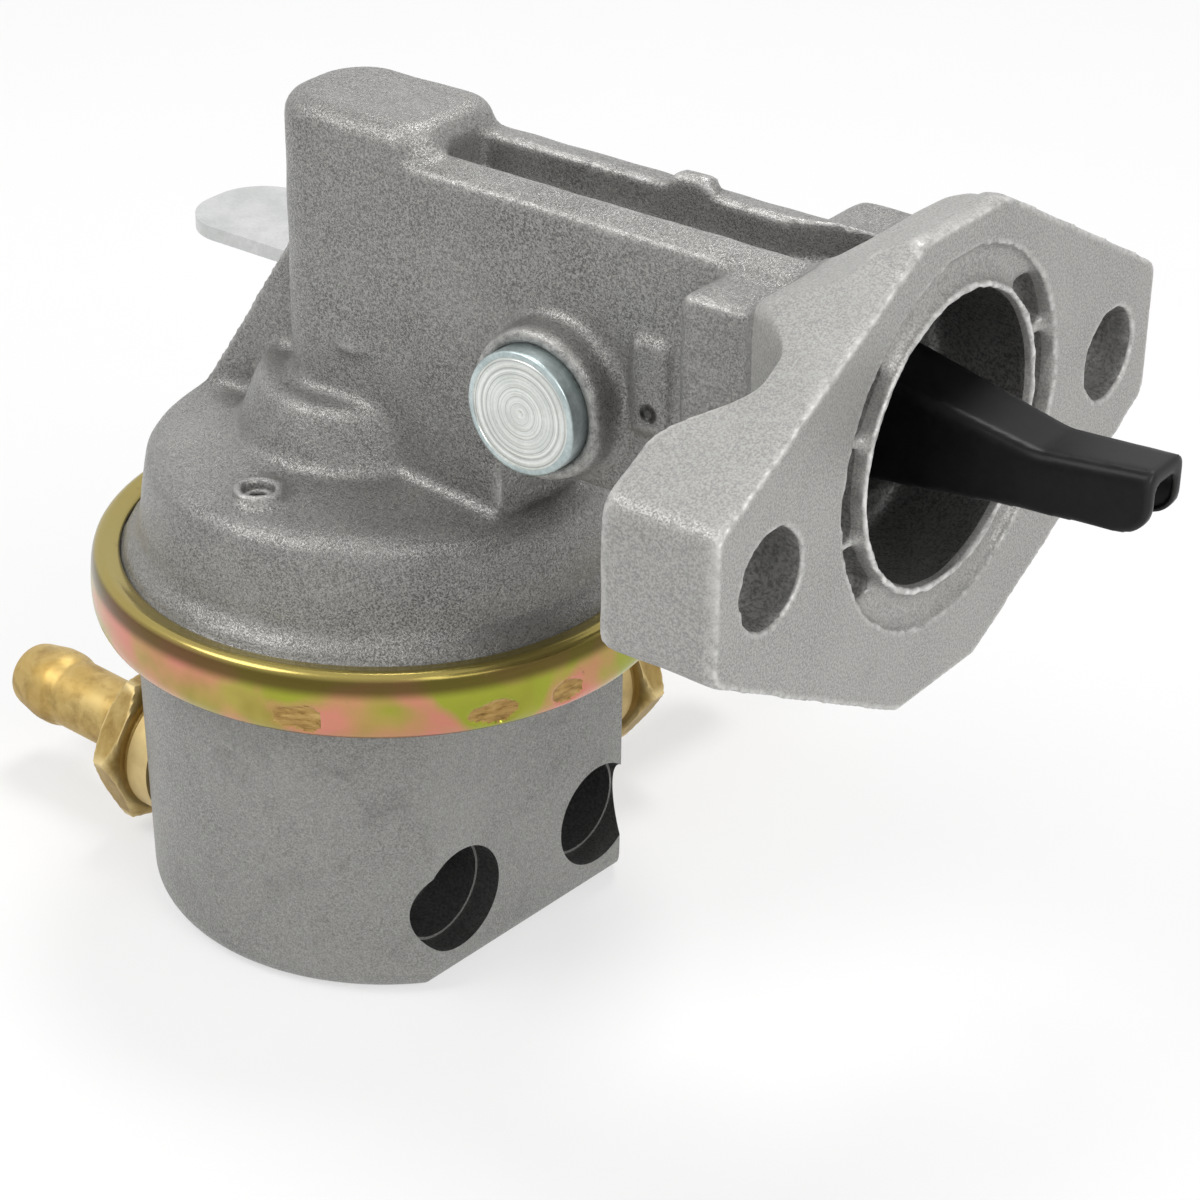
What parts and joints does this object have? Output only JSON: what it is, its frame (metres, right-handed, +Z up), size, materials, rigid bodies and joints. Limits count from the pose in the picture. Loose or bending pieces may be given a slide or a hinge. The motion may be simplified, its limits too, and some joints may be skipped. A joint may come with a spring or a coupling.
{
  "type": "fuel pump",
  "caption": "Mechanical diaphragm fuel pump: grey die-cast body with bolted flange, black rocker arm, crimped plated ring, hand primer lever and brass hose fittings.",
  "frame": {"origin": "midway between the flange's bolt holes, on the flange's front face", "axes": "+X out of the flange towards the engine, along the bolts; +Z up, along the diaphragm's axis and away from the base; -Y the side of the rocker pin's wide head"},
  "size_m": [0.1777, 0.1164, 0.122],
  "materials": {
    "cast_alloy": "sand-blasted die casting",
    "cast_alloy_fine": "fine die casting",
    "yellow_zinc": "yellow chromated zinc",
    "pale_zinc": "clear zinc",
    "turned_steel": "turned and zinc plated",
    "bare_steel": "bare",
    "spring_steel": "drawn wire",
    "black_steel": "satin black",
    "brass": "machined",
    "diaphragm_cloth": "rubber-coated cloth",
    "black_rubber": "moulded"
  },
  "bodies": {
    "housing": {"upper_housing": "cast_alloy", "lower_housing": "cast_alloy_fine", "crimp_ring": "yellow_zinc", "rocker_pin": "turned_steel", "arm_washers": "turned_steel", "diaphragm": "diaphragm_cloth", "rod_seal": "black_rubber", "seal_retainer": "pale_zinc", "diaphragm_spring": "spring_steel", "rocker_spring": "spring_steel", "inlet_fitting": "brass", "outlet_fitting": "brass", "inlet_valve_seat": "brass", "outlet_valve_seat": "brass", "inlet_valve_retainer": "brass", "outlet_valve_retainer": "brass", "inlet_valve_spring": "spring_steel", "outlet_valve_spring": "spring_steel", "primer_spring": "spring_steel"},
    "rocker": {"rocker_arm": "black_steel"},
    "link": {"link_lever": "bare_steel"},
    "plunger": {"pull_rod": "bare_steel", "upper_diaphragm_plate": "pale_zinc", "lower_diaphragm_plate": "pale_zinc", "rod_nut": "pale_zinc"},
    "inlet_disc": {"inlet_valve_disc": "black_rubber"},
    "outlet_disc": {"outlet_valve_disc": "black_rubber"},
    "primer": {"primer_lever": "pale_zinc", "primer_shaft": "bare_steel"}
  },
  "joints": [
    {"name": "rocker_swing", "type": "hinge", "parent": "housing", "child": "rocker", "pos_m": [-0.0506, 0, -0.0027], "axis": [0, 1, 0], "range_deg": [0, 6], "stiffness_Nm_per_rad": 1, "springref_deg": -28.65, "deforming": ["rocker_spring"]},
    {"name": "link_swing", "type": "hinge", "parent": "housing", "child": "link", "pos_m": [-0.0506, 0, -0.0027], "axis": [0, 1, 0], "range_deg": [0, 6]},
    {"name": "diaphragm_stroke", "type": "slide", "parent": "housing", "child": "plunger", "axis": [0, 0, 1], "range_m": [0, 0.0039], "stiffness_N_per_m": 30, "springref_m": -0.01, "deforming": ["diaphragm_spring", "diaphragm"]},
    {"name": "inlet_valve_lift", "type": "slide", "parent": "housing", "child": "inlet_disc", "axis": [0, 0, 1], "range_m": [0, 0.0012], "stiffness_N_per_m": 40, "springref_m": -0.004, "deforming": ["inlet_valve_spring"]},
    {"name": "outlet_valve_lift", "type": "slide", "parent": "housing", "child": "outlet_disc", "axis": [0, 0, -1], "range_m": [0, 0.0012], "stiffness_N_per_m": 40, "springref_m": -0.004, "deforming": ["outlet_valve_spring"]},
    {"name": "primer_swing", "type": "hinge", "parent": "housing", "child": "primer", "pos_m": [-0.072, 0.018, -0.0092], "axis": [0, 1, 0], "range_deg": [-12, 0], "stiffness_Nm_per_rad": 0.3, "springref_deg": 17.19}
  ],
  "couplings": [
    {"joint": "link_swing", "follows": "rocker_swing", "ratio": 1},
    {"joint": "diaphragm_stroke", "follows": "rocker_swing", "m_per_rad": 0.0369}
  ]
}
